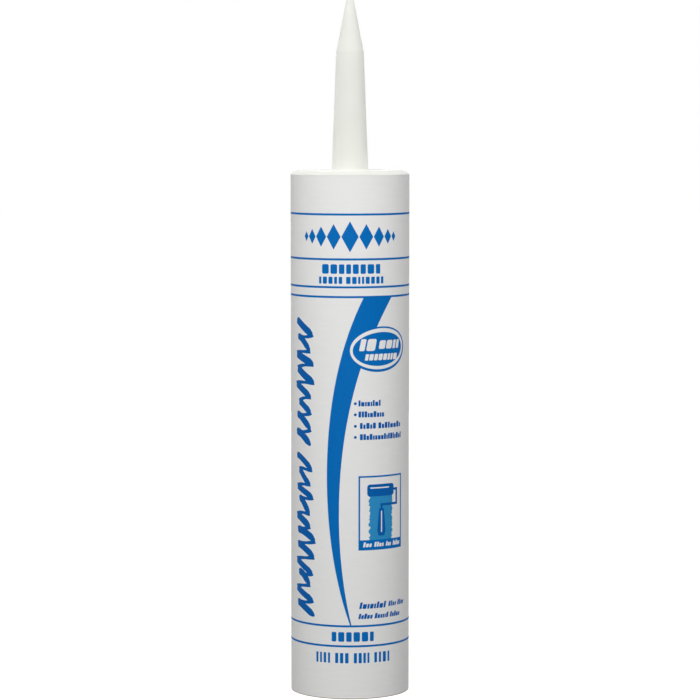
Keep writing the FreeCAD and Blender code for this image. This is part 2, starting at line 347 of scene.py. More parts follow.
def helical_seam(tree, place, pitch, width, start):
    """One along a helical line round the Z axis, and nothing elsewhere."""
    axes = add_node(tree, "ShaderNodeSeparateXYZ", sockets={"Vector": place}).outputs
    angle = add_node(tree, "ShaderNodeMath", {"operation": "ARCTAN2"}, {0: axes["Y"], 1: axes["X"]})
    turns = add_node(
        tree,
        "ShaderNodeMath",
        {"operation": "MULTIPLY_ADD"},
        {0: angle.outputs[0], 1: pitch / (2 * math.pi), 2: start},
    )
    along = add_node(tree, "ShaderNodeMath", {"operation": "ADD"}, {0: axes["Z"], 1: turns.outputs[0]})
    share = add_node(tree, "ShaderNodeMath", {"operation": "WRAP"}, {0: along.outputs[0], 1: pitch, 2: 0.0})
    return add_node(
        tree, "ShaderNodeMath", {"operation": "LESS_THAN"}, {0: share.outputs[0], 1: width}
    ).outputs[0]


def wound_board(name, tone, seam_tone):
    # Spirally wound recycled paperboard: matte and speckled with fibres that lie along the winding,
    # with a darker line where the edges of a ply meet. The flecks are about twice their real size, so
    # that they show.
    material, tree, output, place = new_material(name)
    stretched = add_node(
        tree, "ShaderNodeMapping", sockets={"Vector": place, "Scale": (1.0, 1.0, 2.6)}
    ).outputs[0]
    fibres = grain(tree, stretched, 1.3, 8.0)
    fleck = spread(tree, fibres, 0, 1)
    plain = blend_colours(tree, fleck, rgba(tone, 0.76), rgba(tone, 1.12))
    pitch, gap, start = 62 * MM, 0.5 * MM, 31 * MM
    seam = helical_seam(tree, place, pitch, gap, start)
    surface = add_node(
        tree,
        "ShaderNodeBsdfPrincipled",
        sockets={
            "Base Color": blend_colours(tree, seam, plain, rgba(seam_tone)),
            "Roughness": 0.86,
            "Specular IOR Level": 0.3,
            "Normal": relief(tree, fibres, 40),
        },
    )
    tree.links.new(surface.outputs[0], output.inputs["Surface"])
    return material


def aluminium_foil():
    # Soft aluminium foil with a lacquered face: bright but dulled by fine creases from sealing.
    material, tree, output, place = new_material("seal_foil")
    creases = add_node(
        tree,
        "ShaderNodeTexVoronoi",
        {"feature": "DISTANCE_TO_EDGE"},
        {"Vector": place, "Scale": 1 / (1.6 * MM)},
    ).outputs["Distance"]
    surface = add_node(
        tree,
        "ShaderNodeBsdfPrincipled",
        sockets={
            "Base Color": rgba(colours().foil),
            "Metallic": 1.0,
            "Roughness": 0.32,
            "Normal": relief(tree, creases, 60),
        },
    )
    tree.links.new(surface.outputs[0], output.inputs["Surface"])
    return material


def caulk_paste():
    # White acrylic latex caulk: a wet, dense paste with a soft sheen and small folds.
    material, tree, output, place = new_material("acrylic_caulk")
    surface = add_node(
        tree,
        "ShaderNodeBsdfPrincipled",
        sockets={
            "Base Color": rgba(colours().caulk),
            "Roughness": 0.38,
            "Subsurface Weight": 0.15,
            "Subsurface Radius": (1.0, 0.95, 0.9),
            "Subsurface Scale": 0.6 * MM,
            "Normal": relief(tree, grain(tree, place, 2.5), 80),
        },
    )
    tree.links.new(surface.outputs[0], output.inputs["Surface"])
    return material


def material_once(name, make, *details):
    """The material of that name, made the first time that it is asked for."""
    return bpy.data.materials.get(name) or make(*details)


def paper():
    """The label's paper, which also shows where the print leaves it bare."""
    return material_once("label_paper_coated", coated_paper)


def blue_ink():
    """The blue of the lines, the band and the title."""
    return material_once("ink_blue", printed_ink, "ink_blue", colours().blue)


def deep_blue_ink():
    """The darker blue of the dabs, the list and the roller."""
    return material_once("ink_deep_blue", printed_ink, "ink_deep_blue", colours().deep_blue)


def tint_ink():
    """The light blue of the painted stripe."""
    return material_once("ink_tint", printed_ink, "ink_tint", colours().tint)


# Turned pieces


def finish_piece(shape, name, materials, body="cartridge"):
    """Turn a bmesh into a smooth-shaded piece that rides on a body."""
    mesh = bpy.data.meshes.new(name)
    shape.to_mesh(mesh)
    shape.free()
    mesh.shade_smooth()
    mesh.set_sharp_from_angle(angle=SHARP_EDGE)
    for material in materials:
        mesh.materials.append(material)
    piece = bpy.data.objects.new(name, mesh)
    bpy.context.scene.collection.objects.link(piece)
    weighted = piece.modifiers.new("even_shading", "WEIGHTED_NORMAL")
    weighted.keep_sharp = True
    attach(piece, body)
    return piece


def section(points, closed=True):
    """The half section of a turned piece, from its radii and heights."""
    shape = bmesh.new()
    corners = [shape.verts.new((radius, 0, height)) for radius, height in points]
    following = corners[1:] + corners[:1] if closed else corners[1:]
    for first, second in zip(corners, following):
        shape.edges.new((first, second))
    return shape, corners


def round_corner(shape, corner, radius, segments=ARC_SEGMENTS):
    """Round a corner of a half section, or of a flat face, to a radius."""
    here = corner.co.copy()
    arms = [(edge.other_vert(corner).co - here).normalized() for edge in corner.link_edges]
    reach = radius / math.tan(arms[0].angle(arms[1]) / 2)
    bmesh.ops.bevel(
        shape,
        geom=[corner],
        offset=reach,
        offset_type="OFFSET",
        segments=segments,
        profile=0.5,
        affect="VERTICES",
        material=-1,
    )


def turn(shape, steps=TURN_STEPS):
    """Spin a half section into a closed shell with its faces outwards."""
    bmesh.ops.spin(
        shape,
        geom=shape.verts[:] + shape.edges[:],
        cent=(0, 0, 0),
        axis=(0, 0, 1),
        dvec=(0, 0, 0),
        angle=2 * math.pi,
        steps=steps,
        use_merge=True,
    )
    bmesh.ops.remove_doubles(shape, verts=shape.verts[:], dist=WELD)
    bmesh.ops.recalc_face_normals(shape, faces=shape.faces[:])


def merged_copy(node):
    """A copy of a CAD node's mesh with its loose triangles joined."""
    shape = bmesh.new()
    shape.from_mesh(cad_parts[node].data)
    bmesh.ops.remove_doubles(shape, verts=shape.verts[:], dist=WELD)
    for layer in list(shape.loops.layers.uv.values()):
        shape.loops.layers.uv.remove(layer)
    return shape


def label_radius():
    """Radius of the unprinted paper, inside the label's own radius by the height of the ink."""
    return LABEL_HIGH.x - sizes().ink_build


class CARTRIDGE_OT_tube(bpy.types.Operator):
    """Build the paperboard tube, with its plies showing at the rear end"""

    bl_idname = "cartridge.tube"
    bl_label = "Paperboard tube"

    def execute(self, context):
        size = sizes()
        outer = TUBE_HIGH.x
        bore = outer - size.board_wall
        low, high = TUBE_LOW.z, TUBE_HIGH.z
        half = size.ply_groove / 2
        points = [(bore, low + size.rear_bevel), (bore + size.rear_bevel, low)]
        ply_edge = outer - size.ply
        edges = []
        while ply_edge > bore + size.rear_bevel + size.ply / 2:
            edges.append(ply_edge)
            ply_edge -= size.ply
        for radius in reversed(edges):
            points += [(radius - half, low), (radius, low + size.ply_groove), (radius + half, low)]
        points += [(outer, low), (outer, high), (bore, high)]
        shape, _ = section(points)
        turn(shape)
        inside = bore + half
        for face in shape.faces:
            middle = face.calc_center_median()
            if middle.xy.length < inside:
                face.material_index = 1
        tube = finish_piece(
            shape,
            "board_tube",
            [
                wound_board("board_wound", colours().board, colours().board_edge),
                wound_board("board_liner", colours().liner, colours().board_edge),
            ],
        )
        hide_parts("tube")
        return {"FINISHED"}


class CARTRIDGE_OT_label(bpy.types.Operator):
    """Build the paper label and the strip at the back where it laps over itself"""

    bl_idname = "cartridge.label"
    bl_label = "Paper label"

    def execute(self, context):
        size = sizes()
        inner = TUBE_HIGH.x + GLUE_SHARE * (LABEL_HIGH.x - TUBE_HIGH.x)
        outer = label_radius()
        shape, _ = section(
            [(inner, LABEL_LOW.z), (outer, LABEL_LOW.z), (outer, LABEL_HIGH.z), (inner, LABEL_HIGH.z)]
        )
        turn(shape)
        label = finish_piece(shape, "label_sleeve", [paper()])
        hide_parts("label")

        lap = bmesh.new()
        add_plate(lap, -size.lap_width / 2, size.lap_width / 2, LABEL_LOW.z, LABEL_HIGH.z)
        wrap(lap, layer=LAP_LAYER, sink=size.ink_layer * LAP_LAYER, turned=math.pi)
        finish_piece(lap, "label_lap", [paper()])
        return {"FINISHED"}


class CARTRIDGE_OT_nozzle_cap(bpy.types.Operator):
    """Build the moulded cap with its plug and its closed nozzle"""

    bl_idname = "cartridge.nozzle_cap"
    bl_label = "Cap and nozzle"

    def execute(self, context):
        size = sizes()
        rim = CAP_HIGH.x
        seat = TUBE_HIGH.z
        plug = TUBE_HIGH.x - size.board_wall - size.plug_clearance
        flange_top = seat + size.flange_height
        crown = rim - size.crown_inset
        crown_top = flange_top + size.crown_step
        disc_under = flange_top - size.disc_wall
        neck = CAP_HIGH.z - size.nozzle_tip
        slope = (size.nozzle_foot - size.nozzle_neck) / (neck - crown_top)
        witness = size.nozzle_neck + size.witness_drop * slope
        witness_up = neck - size.witness_drop
        foot_bore = size.nozzle_foot - size.nozzle_wall
        seat_inner = foot_bore + size.seat_margin
        seat_outer = seat_inner + size.seat_width
        seat_end = disc_under - size.seat_height
        passage_end = CAP_HIGH.z - size.tip_plug
        shape, corners = section(
            [
                (0, CAP_HIGH.z),
                (size.tip_end, CAP_HIGH.z),
                (size.nozzle_neck, neck),
                (witness, witness_up),
                (witness + size.witness_depth, witness_up - size.witness_depth),
                (size.nozzle_foot, crown_top),
                (crown, crown_top),
                (crown, flange_top),
                (rim - size.rim_bevel, flange_top),
                (rim, seat + size.rim_edge),
                (rim, seat),
                (plug, seat),
                (plug, CAP_LOW.z + size.plug_lead),
                (plug - size.plug_lead, CAP_LOW.z),
                (plug - size.plug_wall, CAP_LOW.z),
                (plug - size.plug_wall, disc_under),
                (seat_outer, disc_under),
                (seat_outer, seat_end),
                (seat_inner, seat_end),
                (seat_inner, disc_under),
                (foot_bore, disc_under),
                (size.nozzle_neck - size.nozzle_wall, neck),
                (size.tip_bore, passage_end),
                (0, passage_end),
            ],
            closed=False,
        )
        tip, neck_corner, foot, crown_edge, rim_edge = (corners[place] for place in (1, 2, 5, 6, 8))
        round_corner(shape, tip, size.tip_round)
        round_corner(shape, neck_corner, size.neck_round, segments=3)
        round_corner(shape, foot, size.foot_round)
        round_corner(shape, crown_edge, size.crown_round, SMALL_ARC_SEGMENTS)
        round_corner(shape, rim_edge, size.rim_round, SMALL_ARC_SEGMENTS)
        turn(shape)
        cap = finish_piece(
            shape,
            "cap_and_nozzle",
            [moulded_polyethylene("polyethylene_cap", colours().polyethylene, roughness=0.48)],
        )
        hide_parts("nozzle_cap")
        return {"FINISHED"}


class CARTRIDGE_OT_seal(bpy.types.Operator):
    """Build the foil under the cap"""

    bl_idname = "cartridge.seal"
    bl_label = "Foil seal"

    def execute(self, context):
        seal = finish_piece(merged_copy("nozzle_seal"), "foil_seal", [aluminium_foil()])
        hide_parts("nozzle_seal")
        return {"FINISHED"}


class CARTRIDGE_OT_plunger(bpy.types.Operator):
    """Build the moulded plunger and the gate mark in the middle of its cup"""

    bl_idname = "cartridge.plunger"
    bl_label = "Plunger"

    def execute(self, context):
        size = sizes()
        plastic = moulded_polyethylene("polyethylene_plunger", colours().plunger, roughness=0.36)
        plunger = finish_piece(
            merged_copy("plunger"), "plunger_cup", [plastic], body="plunger"
        )
        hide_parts("plunger")

        under = PLUNGER_HIGH.z - size.plunger_wall
        gate_face = size.gate_radius * 0.7
        gate_round = size.gate_height * 0.6
        shape, corners = section(
            [
                (0, under - size.gate_height),
                (gate_face, under - size.gate_height),
                (size.gate_radius, under),
                (0, under),
            ],
            closed=False,
        )
        round_corner(shape, corners[1], gate_round, segments=4)
        turn(shape, steps=32)
        finish_piece(shape, "plunger_gate", [plastic], body="plunger")
        return {"FINISHED"}


class CARTRIDGE_OT_caulk(bpy.types.Operator):
    """Build the filling between the plunger and the cap; it keeps its length when the plunger comes forward
    """

    bl_idname = "cartridge.caulk"
    bl_label = "Caulk"

    def execute(self, context):
        size = sizes()
        plug_bore = TUBE_HIGH.x - size.board_wall - size.plug_clearance - size.plug_wall
        clear = TUBE_HIGH.x - size.board_wall - CAULK_HIGH.x
        step = CAP_LOW.z - clear
        nose_top = PLUNGER_HIGH.z + size.plunger_gap
        shape, _ = section(
            [
                (0, nose_top),
                (size.nose_flat, nose_top),
                (size.nose_shoulder, CAULK_LOW.z),
                (CAULK_HIGH.x, CAULK_LOW.z),
                (CAULK_HIGH.x, step),
                (plug_bore - clear, step),
                (plug_bore - clear, CAULK_HIGH.z),
                (0, CAULK_HIGH.z),
            ],
            closed=False,
        )
        turn(shape, steps=96)
        caulk = finish_piece(shape, "caulk_filling", [caulk_paste()])
        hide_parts("caulk")
        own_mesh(caulk)
        return {"FINISHED"}


# Print. Each shape is drawn flat, with X along the label's surface from the middle of its front and Z
# up, and is then bent round the label. A shape on a higher layer covers the ones below it. Places and
# sizes of single shapes are in millimetres. Most print lies on layer 1.

PRINT_LAYER = 1
RULE_LAYER = 2
BADGE_LAYER = 2  # of the badge's rim, with its other shapes one layer higher each
LAP_LAYER = 4  # of the label's own lap
INK_ROOT = 0.03 * MM  # how far a printed shape reaches into the paper
GLUE_SHARE = 0.3  # share of the label's thickness that is left for glue under the paper


def add_plate(shape, left, right, low, high, corner=0.0, lean=0.0):
    """A flat rectangle with rounded corners, whose upper edge may lean to the right."""
    made = bmesh.ops.create_grid(shape, x_segments=1, y_segments=1, size=0.5)
    for vert in made["verts"]:
        across = left + (right - left) * (vert.co.x + 0.5)
        up = low + (high - low) * (vert.co.y + 0.5)
        vert.co = Vector((across + lean * (up - low), 0, up))
    if corner:
        bmesh.ops.bevel(
            shape,
            geom=made["verts"],
            offset=corner,
            offset_type="OFFSET",
            segments=4,
            profile=0.5,
            affect="VERTICES",
            material=-1,
        )


def add_oval(shape, across, up, half_width, half_height, tilt=0.0, segments=64):
    """A flat ellipse."""
    place = (
        Matrix.Translation((across, 0, up))
        @ Matrix.Rotation(-tilt, 4, "Y")
        @ Matrix.Diagonal((half_width, 1, half_height, 1))
        @ Matrix.Rotation(math.pi / 2, 4, "X")
    )
    bmesh.ops.create_circle(shape, cap_ends=True, radius=1.0, segments=segments, matrix=place)


def add_stroke(shape, path, width):
    """A flat stroke whose path and width are functions of a share of its length."""
    made = bmesh.ops.create_grid(shape, x_segments=2, y_segments=24, size=0.5)
    nudge = 0.01
    for vert in made["verts"]:
        side = 2 * vert.co.x
        share = vert.co.y + 0.5
        ahead, behind = path(min(share + nudge, 1)), path(max(share - nudge, 0))
        along = (ahead - behind).normalized()
        sideways = Vector((along.z, 0, -along.x))
        vert.co = path(share) + sideways * side * width(share) / 2


def add_outline(shape, corners):
    """A flat shape from its corners, each an across and an up."""
    shape.faces.new([shape.verts.new((across, 0, up)) for across, up in corners])


def add_frame(shape, left, right, low, high, line):
    """A flat rectangular frame, whose line lies inside its outer edges."""
    edges = []
    for inset in (0, line):
        first, last, foot, head = left + inset, right - inset, low + inset, high - inset
        places = ((first, foot), (last, foot), (last, head), (first, head))
        corners = [shape.verts.new((across, 0, up)) for across, up in places]
        edges += [shape.edges.new(pair) for pair in zip(corners, corners[1:] + corners[:1])]
    bmesh.ops.bridge_loops(shape, edges=edges)


def add_ragged(shape, left, right, low, high, chance):
    """A flat stripe of paint whose sides are frayed inwards."""
    fray = 0.9 * MM
    made = bmesh.ops.create_grid(shape, x_segments=8, y_segments=44, size=0.5)
    for vert in made["verts"]:
        across, up = vert.co.x + 0.5, vert.co.y + 0.5
        on_side = abs(vert.co.x) > 0.49
        side = chance.uniform(-fray, 0) * on_side
        inward = math.copysign(1, vert.co.x) * side
        vert.co = Vector((left + (right - left) * across + inward, 0, low + (high - low) * up))


def cubic(*points):
    """A cubic curve through its control points, each an across and an up in millimetres."""
    start, first, second, end = (Vector((across * MM, 0, up * MM)) for across, up in points)

    def place(share):
        rest = 1 - share
        return (
            start * rest**3
            + first * (3 * rest**2 * share)
            + second * (3 * rest * share**2)
            + end * share**3
        )

    return place


def wrap(shape, layer, sink=INK_ROOT, turned=0.0):
    """Cut flat shapes at the label's facets, give them thickness and bend them round the label."""
    lift = layer * sizes().ink_layer
    bmesh.ops.remove_doubles(shape, verts=shape.verts[:], dist=WELD)
    strip = FACET * LABEL_HIGH.x
    across = [vert.co.x for vert in shape.verts]
    first, last = math.ceil(min(across) / strip), math.floor(max(across) / strip)
    for index in range(first, last + 1):
        bmesh.ops.bisect_plane(
            shape,
            geom=shape.verts[:] + shape.edges[:] + shape.faces[:],
            dist=WELD,
            plane_co=(index * strip, 0, 0),
            plane_no=(1, 0, 0),
        )
    outer = label_radius() + lift
    depth = lift + sink
    made = bmesh.ops.extrude_face_region(shape, geom=shape.faces[:], use_keep_orig=True)
    backs = {item for item in made["geom"] if isinstance(item, bmesh.types.BMVert)}
    for vert in shape.verts:
        radius = outer - (depth if vert in backs else 0)
        angle = vert.co.x / LABEL_HIGH.x + turned
        vert.co = Vector((radius * math.sin(angle), -radius * math.cos(angle), vert.co.z))
    bmesh.ops.recalc_face_normals(shape, faces=shape.faces[:])


def print_piece(shape, name, material, layer):
    """Wrap flat shapes round the label as one printed piece."""
    wrap(shape, layer)
    return finish_piece(shape, name, [material])


def add_word(shape, left, right, low, height, letters, seed, lean=0.0, gap=0.22, short=0.72):
    """A word as a row of plain rounded blocks: the first is full height, the others vary."""
    chance = random.Random(seed)
    widths = [chance.uniform(0.6, 1.3) for _ in range(letters)]
    pitch = (right - left) / (sum(widths) + gap * (letters - 1))
    across = left
    for index, width in enumerate(widths):
        tall = index == 0 or chance.random() < 0.35
        top = low + height * (1.0 if tall else short)
        corner = min(width * pitch, height) * 0.22
        add_plate(shape, across, across + width * pitch, low, top, corner, lean)
        across += (width + gap) * pitch


class CARTRIDGE_OT_rules(bpy.types.Operator):
    """Print the lines that run round the label, and their ends on the lap"""

    bl_idname = "cartridge.rules"
    bl_label = "Lines round the label"

    def execute(self, context):
        size, places = sizes(), prints()
        heights = [
            places.upper_rule,
            places.title_rule,
            places.title_base,
            places.sweep_rule,
            places.foot_rule,
            places.base_rule,
        ]
        half = places.line / 2
        outer = label_radius() + RULE_LAYER * size.ink_layer
        inner = label_radius() - size.ink_layer
        rules = bmesh.new()
        for height in heights:
            ring, _ = section(
                [
                    (inner, height - half),
                    (outer, height - half),
                    (outer, height + half),
                    (inner, height + half),
                ]
            )
            turn(ring)
            part = bpy.data.meshes.new("rule")
            ring.to_mesh(part)
            ring.free()
            rules.from_mesh(part)
            bpy.data.meshes.remove(part)
        finish_piece(rules, "print_rules", [blue_ink()])

        lap = bmesh.new()
        for height in heights:
            low = height - half + size.lap_slip
            add_plate(lap, -size.lap_width / 2, size.lap_width / 2, low, low + places.line)
        wrap(lap, LAP_LAYER + 1, sink=0.0, turned=math.pi)
        finish_piece(lap, "print_lap_rules", [blue_ink()])
        return {"FINISHED"}


class CARTRIDGE_OT_sweep(bpy.types.Operator):
    """Print the tapered band that sweeps down the front"""

    bl_idname = "cartridge.sweep"
    bl_label = "Tapered band"

    def execute(self, context):
        left = cubic((5.64, 166.0), (-12.45, 130.8), (-15.03, 73.3), (0.06, 30.7))
        right = cubic((18.84, 166.0), (-4.95, 133.5), (-9.83, 73.3), (0.64, 30.7))
        shape = bmesh.new()
        made = bmesh.ops.create_grid(shape, x_segments=4, y_segments=72, size=0.5)
        for vert in made["verts"]:
            share = 0.5 - vert.co.y
            vert.co = left(share).lerp(right(share), vert.co.x + 0.5)
        print_piece(shape, "print_sweep", blue_ink(), PRINT_LAYER)
        return {"FINISHED"}


class CARTRIDGE_OT_ornament(bpy.types.Operator):
    """Print the row of lozenges between the two upper lines"""

    bl_idname = "cartridge.ornament"
    bl_label = "Row of lozenges"

    def execute(self, context):
        places = prints()
        row, gap = places.lozenge_row, places.lozenge_gap
        shape = bmesh.new()
        across = 0.0
        for share in (1.0, 0.83, 0.66, 0.49, 0.32):
            half_height = places.lozenge_height * share / 2
            half_width = places.lozenge_width * share / 2
            across += half_width if across else 0.0
            for middle in sorted({-across, across}):
                add_outline(
                    shape,
                    [
                        (middle, row - half_height),
                        (middle + half_width, row),
                        (middle, row + half_height),
                        (middle - half_width, row),
                    ],
                )
            across += half_width + gap
        print_piece(shape, "print_lozenges", blue_ink(), PRINT_LAYER)
        return {"FINISHED"}


class CARTRIDGE_OT_title(bpy.types.Operator):
    """Print the word bars of the title, the shade's name and the volume"""

    bl_idname = "cartridge.title"
    bl_label = "Title, shade and volume"

    def execute(self, context):
        shape = bmesh.new()
        # The gap between two blocks, as a share of a block.
        bold, plain, light = 0.3, 0.45, 0.6
        # Left, right, low, height, letters and gap.
        words = [
            (-11.9, 13.0, 175.8, 3.9, 8, bold),
            (-13.3, -3.2, 171.7, 2.9, 5, plain),
            (-1.6, 14.5, 171.7, 2.9, 8, plain),
            (-7.7, 10.1, 24.0, 4.0, 6, bold),
            (-14.8, -8.4, 15.0, 4.3, 4, light),
            (-6.2, -0.6, 15.0, 4.3, 3, light),
            (1.6, 8.2, 15.0, 4.3, 4, light),
            (10.4, 17.8, 15.0, 4.3, 4, light),
        ]
        for seed, (left, right, low, height, letters, gap) in enumerate(words):
            ends = left * MM, right * MM
            add_word(shape, *ends, low * MM, height * MM, letters, seed, gap=gap, short=1.0)
        print_piece(shape, "print_title", blue_ink(), PRINT_LAYER)
        return {"FINISHED"}


class CARTRIDGE_OT_brush_marks(bpy.types.Operator):
    """Print the two groups of brushed dabs up the left side of the front"""

    bl_idname = "cartridge.brush_marks"
    bl_label = "Brushed dabs"

    def execute(self, context):
        chance = random.Random(11)
        left, right, rise = -26.6, -16.0, 2.7
        dab_thick, link_thick = 3.0, 1.7
        dabs, links = bmesh.new(), bmesh.new()
        for low, high, count in ((36.4, 97.6, 11), (107.4, 153.4, 8)):
            behind = None
            for index in range(count):
                up = low + (high - low) * index / (count - 1)
                start = (left + chance.uniform(-0.9, 1.6), up + rise + chance.uniform(-0.8, 0.6))
                end = (right + chance.uniform(-2.2, 0.6), up - rise + chance.uniform(-0.5, 0.8))
                bow = chance.uniform(-1.2, 1.2)
                path = cubic(
                    start,
                    (start[0] + 2.8, start[1] - 0.6 + bow),
                    (end[0] - 3.4, end[1] + 2.2 + bow),
                    end,
                )
                thick = dab_thick + chance.uniform(-0.4, 0.3)
                add_stroke(dabs, path, self.dab_width(thick * MM))
                if behind:
                    sway = chance.uniform(-0.8, 0.8)
                    path = cubic(
                        behind,
                        (behind[0] + 3.0, behind[1] + 0.9 + sway),
                        (end[0] - 2.4, end[1] - 0.9 + sway),
                        end,
                    )
                    add_stroke(links, path, self.link_width(link_thick * MM))
                behind = start
        print_piece(dabs, "print_brush_dabs", deep_blue_ink(), PRINT_LAYER + 1)
        print_piece(links, "print_brush_links", deep_blue_ink(), PRINT_LAYER)
        return {"FINISHED"}

    def dab_width(self, thick):
        """Full soon after the dab's start, and drawn out at its end."""
        swell, fade = 0.08, 0.22

        def width(share):
            start = min(1.0, (share / swell) ** 0.5)
            end = min(1.0, ((1 - share) / fade) ** 0.5)
            return thick * start * end

        return width

    def link_width(self, thick):
        """Thinnest in the middle, where the brush was lifted."""
        return lambda share: thick * (0.7 + 0.9 * abs(share - 0.5))


class CARTRIDGE_OT_badge(bpy.types.Operator):
    """Print the oval badge over the band"""

    bl_idname = "cartridge.badge"
    bl_label = "Oval badge"

    def execute(self, context):
        places = prints()
        across, up = places.badge_across, places.badge_up
        tilt = math.radians(4)
        # Half the width, half the height, and how far the oval lies above the badge's centre.
        ovals = [
            ("print_badge_rim", blue_ink(), 13.95, 9.3, 0.0),
            ("print_badge_ground", paper(), 13.15, 8.4, 0.2),
            ("print_badge_field", blue_ink(), 12.0, 6.9, 0.1),
        ]
        for layer, (name, material, half_width, half_height, lift) in enumerate(ovals, BADGE_LAYER):
            shape = bmesh.new()
            add_oval(shape, across, up + lift * MM, half_width * MM, half_height * MM, tilt)
            print_piece(shape, name, material, layer)

        # Left, right and low from the badge's centre, height and letters.
        words = [(-9.4, -2.6, -0.6, 4.9, 2), (-0.9, 9.8, 0.1, 3.5, 4), (-7.0, 8.6, -4.5, 2.6, 8)]
        shape = bmesh.new()
        for seed, (left, right, low, height, letters) in enumerate(words, 1):
            ends = across + left * MM, across + right * MM
            add_word(shape, *ends, up + low * MM, height * MM, letters, seed, lean=0.2, short=1.0)
        print_piece(shape, "print_badge_words", paper(), BADGE_LAYER + len(ovals))
        return {"FINISHED"}


class CARTRIDGE_OT_list_lines(bpy.types.Operator):
    """Print the dotted list and the two slanted lines low on the front"""

    bl_idname = "cartridge.list_lines"
    bl_label = "List and slanted lines"

    def execute(self, context):
        shape = bmesh.new()
        dot_across, dot_radius = 2.2 * MM, 0.6 * MM
        height, half_height = 2.45, 1.15
        # The middle of each row, with the left, right and letters of its words.
        rows = [
            (122.6, [(3.5, 13.2, 8)]),
            (118.05, [(3.5, 14.9, 9)]),
            (113.3, [(4.1, 11.0, 5), (12.2, 24.5, 8)]),
            (108.7, [(4.1, 25.0, 17)]),
        ]
        for number, (middle, words) in enumerate(rows):
            add_oval(shape, dot_across, middle * MM, dot_radius, dot_radius, segments=20)
            low = middle - half_height
            for left, right, letters in words:
                add_word(shape, left * MM, right * MM, low * MM, height * MM, letters, number + letters)
        # Left, right, low, height and letters.
        slanted = [
            (3.8, 15.6, 37.6, 2.7, 8),
            (17.2, 21.6, 37.9, 2.2, 4),
            (22.6, 27.2, 37.9, 2.2, 4),
            (3.4, 9.4, 33.4, 2.2, 5),
            (10.4, 17.0, 33.4, 2.2, 6),
            (18.0, 24.0, 33.4, 2.2, 5),
        ]
        for left, right, low, height, letters in slanted:
            add_word(shape, left * MM, right * MM, low * MM, height * MM, letters, letters, lean=0.2)
        print_piece(shape, "print_list", deep_blue_ink(), PRINT_LAYER)
        return {"FINISHED"}


class CARTRIDGE_OT_picture(bpy.types.Operator):
    """Print the picture panel: a paint roller and the stripe that it leaves"""

    bl_idname = "cartridge.picture"
    bl_label = "Picture panel"

    def execute(self, context):
        places = prints()
        left, right = places.panel_left, places.panel_right
        low, high = places.panel_low, places.panel_high
        line = places.panel_line
        strip_top = low + places.strip
        border = bmesh.new()
        add_frame(border, left, right, low, high, line)
        print_piece(border, "print_panel_frame", blue_ink(), PRINT_LAYER + 2)
        strip = bmesh.new()
        add_plate(strip, left + line / 2, right - line / 2, low + line / 2, strip_top)
        print_piece(strip, "print_panel_strip", blue_ink(), PRINT_LAYER + 1)
        words = bmesh.new()
        base, height = low + 1.3 * MM, 2.0 * MM
        for start, end, letters in ((5.4, 9.0, 3), (10.2, 14.6, 4), (15.8, 18.4, 3), (19.6, 23.8, 5)):
            add_word(words, start * MM, end * MM, base, height, letters, letters, lean=0.2)
        print_piece(words, "print_panel_words", paper(), PRINT_LAYER + 2)

        painted = bmesh.new()
        half_stripe = places.roller_width / 2 - 0.5 * MM
        first, last = places.roller_across - half_stripe, places.roller_across + half_stripe
        add_ragged(painted, first, last, strip_top - line / 2, places.roller_up, random.Random(5))
        print_piece(painted, "print_painted_stripe", tint_ink(), PRINT_LAYER)
        self.print_roller()
        return {"FINISHED"}

    def print_roller(self):
        """The roller, its bent wire and its handle, with a glint on the roller and one on the handle."""
        places = prints()
        across, up = places.roller_across, places.roller_up
        half_width, half_thick = places.roller_width / 2, places.roller_thick / 2
        half_wire = 0.5 * MM
        elbow = across + half_width + 1.7 * MM
        bend = up - 6.0 * MM
        handle_top, handle_low = bend - 1.6 * MM, places.panel_low + places.strip + 1.6 * MM
        roller = bmesh.new()
        add_plate(
            roller,
            across - half_width,
            across + half_width,
            up - half_thick,
            up + half_thick,
            corner=1.2 * MM,
        )
        add_outline(
            roller,
            [
                (across + half_width, up + half_wire),
                (elbow + half_wire, up + half_wire),
                (elbow + half_wire, bend - half_wire),
                (across + half_wire, bend - half_wire),
                (across + half_wire, handle_top),
                (across - half_wire, handle_top),
                (across - half_wire, bend + half_wire),
                (elbow - half_wire, bend + half_wire),
                (elbow - half_wire, up - half_wire),
                (across + half_width, up - half_wire),
            ],
        )
        # The handle is widest at its belly, and narrower at its waist and its two ends.
        half_belly = 2.0 * MM
        half_top, half_waist = half_belly * 0.6, half_belly * 0.7
        waist, belly = handle_top - 2.6 * MM, handle_low + 2.4 * MM
        add_outline(
            roller,
            [
                (across - half_top, handle_top),
                (across + half_top, handle_top),
                (across + half_waist, waist),
                (across + half_belly, belly),
                (across + half_waist, handle_low),
                (across - half_waist, handle_low),
                (across - half_belly, belly),
                (across - half_waist, waist),
            ],
        )
        print_piece(roller, "print_roller", deep_blue_ink(), PRINT_LAYER + 1)
        glints = bmesh.new()
        glint = 0.5 * MM
        shine_left, shine_right = across - half_width * 0.8, across + half_width * 0.6
        shine = up + half_thick * 0.3
        add_plate(glints, shine_left, shine_right, shine, shine + glint, corner=glint / 2)
        add_plate(
            glints,
            across - glint / 2,
            across + glint / 2,
            handle_low + 1.4 * MM,
            handle_top - MM,
            corner=glint / 2,
        )
        print_piece(glints, "print_roller_glints", paper(), PRINT_LAYER + 2)


# Stage

CAMERA_DISTANCE = 1209.4 * MM
CAMERA_HEIGHT = 240.8 * MM
CAMERA_PITCH = math.radians(4.639)
CAMERA_LENS = 149.55  # in millimetres, as the sensor is
CAMERA_SENSOR = 36.0

WHITE = (1, 1, 1, 1)
WORLD_LIGHT = 0.1
FLOOR_RADIUS = 6.0
FLOOR_LIFT = 0.9  # how far the floor is lifted to white near the cartridge
FLOOR_FADE = (0.6, 1.1)  # distances between which that rises to a full white
HOLE_MARGIN = 0.2 * MM  # from the floor's hole out to the tube's side

